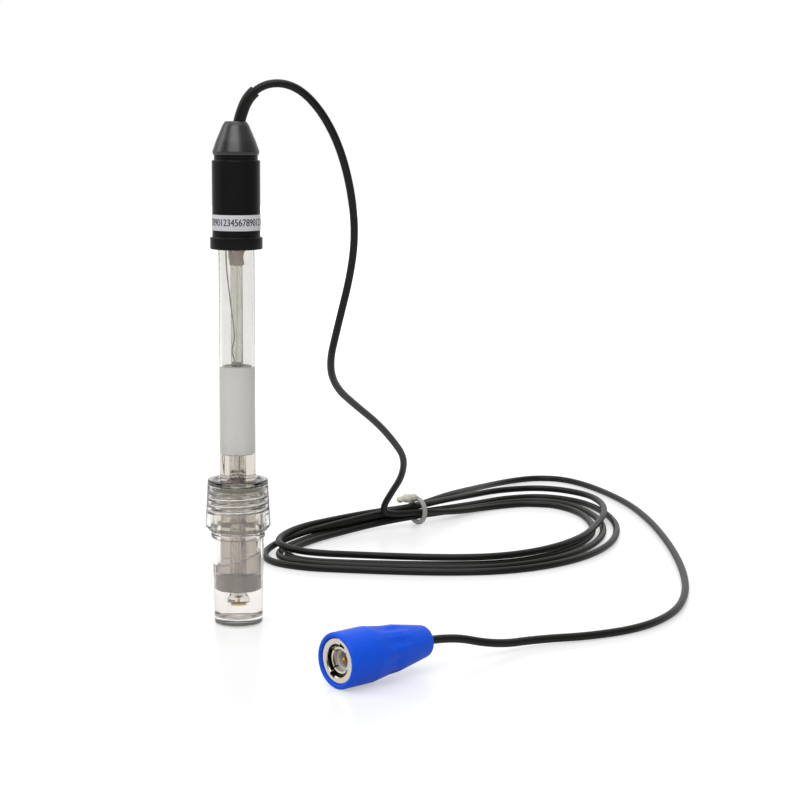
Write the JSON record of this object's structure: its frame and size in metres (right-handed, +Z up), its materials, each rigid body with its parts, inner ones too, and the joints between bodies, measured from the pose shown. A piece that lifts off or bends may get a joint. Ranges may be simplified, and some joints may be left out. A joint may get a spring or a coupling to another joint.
{
  "type": "redox probe",
  "caption": "Redox electrode with a glass shaft and a metal tip, standing in its storage bottle, with its coiled cable and bayonet plug.",
  "frame": {"origin": "middle of the storage bottle's foot, on the ground that it stands on", "axes": "+Z up along the electrode, +X to the side where the cable's coil lies, -Y towards the side where the plug lies"},
  "size_m": [0.1746, 0.3522, 0.1823],
  "materials": {
    "bottle_clear": "clear moulded plastic, gloss",
    "cap_clear": "clear grey moulded plastic, gloss",
    "liquid": "clear storage solution",
    "electrode_glass": "clear glass",
    "soft_seal": "soft clear-white rubber",
    "gel": "milky reference gel",
    "clear_fill": "clear electrolyte",
    "junction_beige": "porous beige junction",
    "potting_beige": "beige potting",
    "gold": "gold, polished",
    "silver_wire": "silver wire",
    "black_cap": "satin black",
    "black_rubber": "satin black rubber",
    "label_white": "printed white label",
    "cable_black": "satin black jacket",
    "tie_clear": "translucent soft tubing",
    "boot_blue": "satin blue",
    "nickel": "polished nickel plate",
    "insulator_white": "white insulator",
    "gasket": "soft rubber"
  },
  "bodies": {
    "bottle": {"storage_bottle": "bottle_clear", "storage_solution": "liquid", "cable_coil": "cable_black", "cable_tail": "cable_black", "coil_tie": "tie_clear", "plug_shell": "nickel", "plug_insulator": "insulator_white", "centre_pin": "gold", "plug_gasket": "gasket", "crimp_ferrule": "nickel"},
    "seal": {"seal_ring": "soft_seal"},
    "bottle_cap": {"bottle_cap": "cap_clear"},
    "probe": {"outer_tube": "electrode_glass", "inner_stem": "electrode_glass", "junction_plug": "junction_beige", "lower_electrolyte": "clear_fill", "reference_gel": "gel", "reference_wire": "silver_wire", "signal_wire": "silver_wire", "sensor_disc": "gold", "sensor_pin": "gold", "tube_stopper": "potting_beige", "electrode_cap": "black_cap", "cap_potting": "potting_beige", "cap_label": "label_white", "cable_boot": "black_rubber", "strain_sleeve": "black_rubber", "cable_lead": "cable_black"},
    "plug_spring": {"spring_washer": "nickel"},
    "plug_sleeve": {"coupling_ring": "nickel", "plug_boot": "boot_blue"}
  },
  "joints": [
    {"name": "cap_lift", "type": "slide", "parent": "bottle", "child": "seal", "axis": [0, 0, 1], "range_m": [0, 0.0066]},
    {"name": "cap_turn", "type": "hinge", "parent": "seal", "child": "bottle_cap", "pos_m": [0, 0, 0.0476], "axis": [0, 0, 1], "range_deg": [0, 1080]},
    {"name": "probe_lift", "type": "slide", "parent": "bottle", "child": "probe", "axis": [0, 0, 1], "range_m": [0, 0.045]},
    {"name": "ring_travel", "type": "slide", "parent": "bottle", "child": "plug_spring", "axis": [-0.7431, -0.6691, 0], "range_m": [0, 0.0008], "stiffness_N_per_m": 2000},
    {"name": "ring_turn", "type": "hinge", "parent": "plug_spring", "child": "plug_sleeve", "pos_m": [0.03537, -0.07954, 0.0087], "axis": [-0.7431, -0.6691, 0], "continuous": true}
  ],
  "couplings": [
    {"joint": "cap_turn", "follows": "cap_lift", "rad_per_m": 2856}
  ]
}
